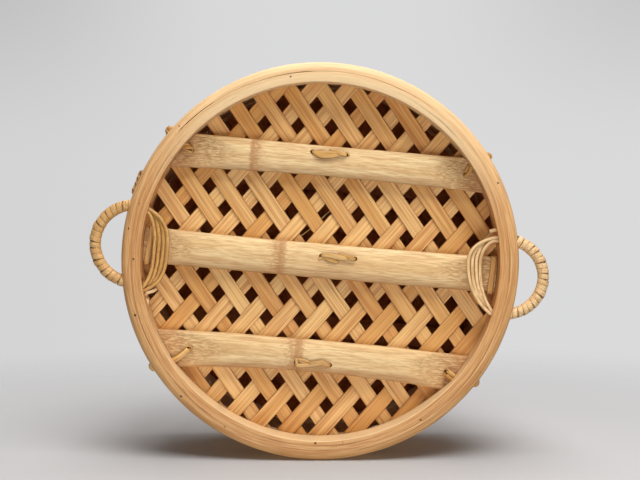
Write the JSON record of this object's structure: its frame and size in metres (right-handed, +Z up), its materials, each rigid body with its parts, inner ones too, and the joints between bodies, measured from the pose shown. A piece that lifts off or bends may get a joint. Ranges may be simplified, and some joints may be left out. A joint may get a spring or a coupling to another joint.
{
  "type": "bamboo steamer basket",
  "caption": "Round lidded bamboo steamer: bent hoops, a woven strip floor tied to split crossbars, bound cane ring handles and a domed lid that lifts off",
  "frame": {"origin": "on the ground at the axis of the basket, where the foot stands", "axes": "+Z up; X along the crossbars and through both side handles; Y across the crossbars"},
  "size_m": [0.35, 0.303, 0.1726],
  "materials": {
    "hoop": "satin bent bamboo",
    "strip": "split bamboo, matt",
    "bar": "split culm, satin",
    "cane": "cane, satin",
    "wrap": "cane binding, satin",
    "dome": "woven bamboo, matt"
  },
  "bodies": {
    "basket": {"floor_strip_first_01": "strip", "floor_strip_first_02": "strip", "floor_strip_first_03": "strip", "floor_strip_first_04": "strip", "floor_strip_first_05": "strip", "floor_strip_first_06": "strip", "floor_strip_first_07": "strip", "floor_strip_first_08": "strip", "floor_strip_first_09": "strip", "floor_strip_first_10": "strip", "floor_strip_first_11": "strip", "floor_strip_first_12": "strip", "floor_strip_first_13": "strip", "floor_strip_second_01": "strip", "floor_strip_second_02": "strip", "floor_strip_second_03": "strip", "floor_strip_second_04": "strip", "floor_strip_second_05": "strip", "floor_strip_second_06": "strip", "floor_strip_second_07": "strip", "floor_strip_second_08": "strip", "floor_strip_second_09": "strip", "floor_strip_second_10": "strip", "floor_strip_second_11": "strip", "floor_strip_second_12": "strip", "floor_strip_second_13": "strip", "crossbar_front": "bar", "crossbar_middle": "bar", "crossbar_back": "bar", "crossbar_tie_front": "cane", "crossbar_tie_middle": "cane", "crossbar_tie_back": "cane", "crossbar_end_tie_front_left": "cane", "crossbar_end_tie_front_right": "cane", "crossbar_end_tie_back_left": "cane", "crossbar_end_tie_back_right": "cane", "bar_lashing_left": "wrap", "bar_lashing_right": "wrap", "foot_band_stitch": "cane", "handle_ring_right": "cane", "handle_wrap_right": "wrap", "handle_ring_left": "cane", "handle_wrap_left": "wrap", "foot_band": "hoop", "wall_hoop": "hoop", "foot_ring": "hoop", "lining_hoop": "hoop", "top_band": "hoop"},
    "lid": {"lid_wall_hoop": "hoop", "lid_flange_hoop": "hoop", "lid_dome_ring": "hoop", "lid_band": "hoop", "lid_dome_cover": "dome", "lid_dome_liner": "dome", "lid_batten_front": "bar", "lid_batten_middle": "bar", "lid_batten_back": "bar", "lid_handle_ring": "cane", "lid_handle_wrap": "wrap"}
  },
  "joints": [
    {"name": "lid_lift", "type": "slide", "parent": "basket", "child": "lid", "axis": [0, 0, 1], "range_m": [0, 0.1]}
  ]
}
